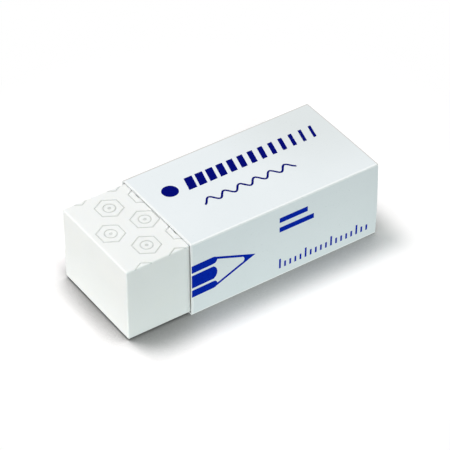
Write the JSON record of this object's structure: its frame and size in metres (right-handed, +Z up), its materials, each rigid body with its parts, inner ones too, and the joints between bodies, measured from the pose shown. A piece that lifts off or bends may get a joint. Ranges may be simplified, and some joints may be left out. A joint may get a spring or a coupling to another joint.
{
  "type": "block eraser in card sleeve",
  "caption": "White vinyl block eraser with a pressed relief on top, pushed through a folded card sleeve with plain blue printed shapes.",
  "frame": {"origin": "middle of the whole part's footprint, on the sleeve's underside, with the block as far in as at rest", "axes": "+X along the block from its bare end to the sleeve's far end, +Y across it towards the sleeve's glued back panel, +Z up"},
  "size_m": [0.0472, 0.0196, 0.0142],
  "materials": {
    "vinyl": "matt white vinyl with a faint waxy sheen",
    "card": "smooth white coated carton board",
    "dark_ink": "dark blue printing ink on coated card",
    "blue_ink": "blue printing ink on coated card"
  },
  "bodies": {
    "sleeve": {"card_sleeve": "card", "top_print": "dark_ink", "side_print": "blue_ink"},
    "block": {"eraser_block": "vinyl"}
  },
  "joints": [
    {"name": "block_slide", "type": "slide", "parent": "sleeve", "child": "block", "axis": [1, 0, 0], "range_m": [-0.033, 0.048]}
  ]
}
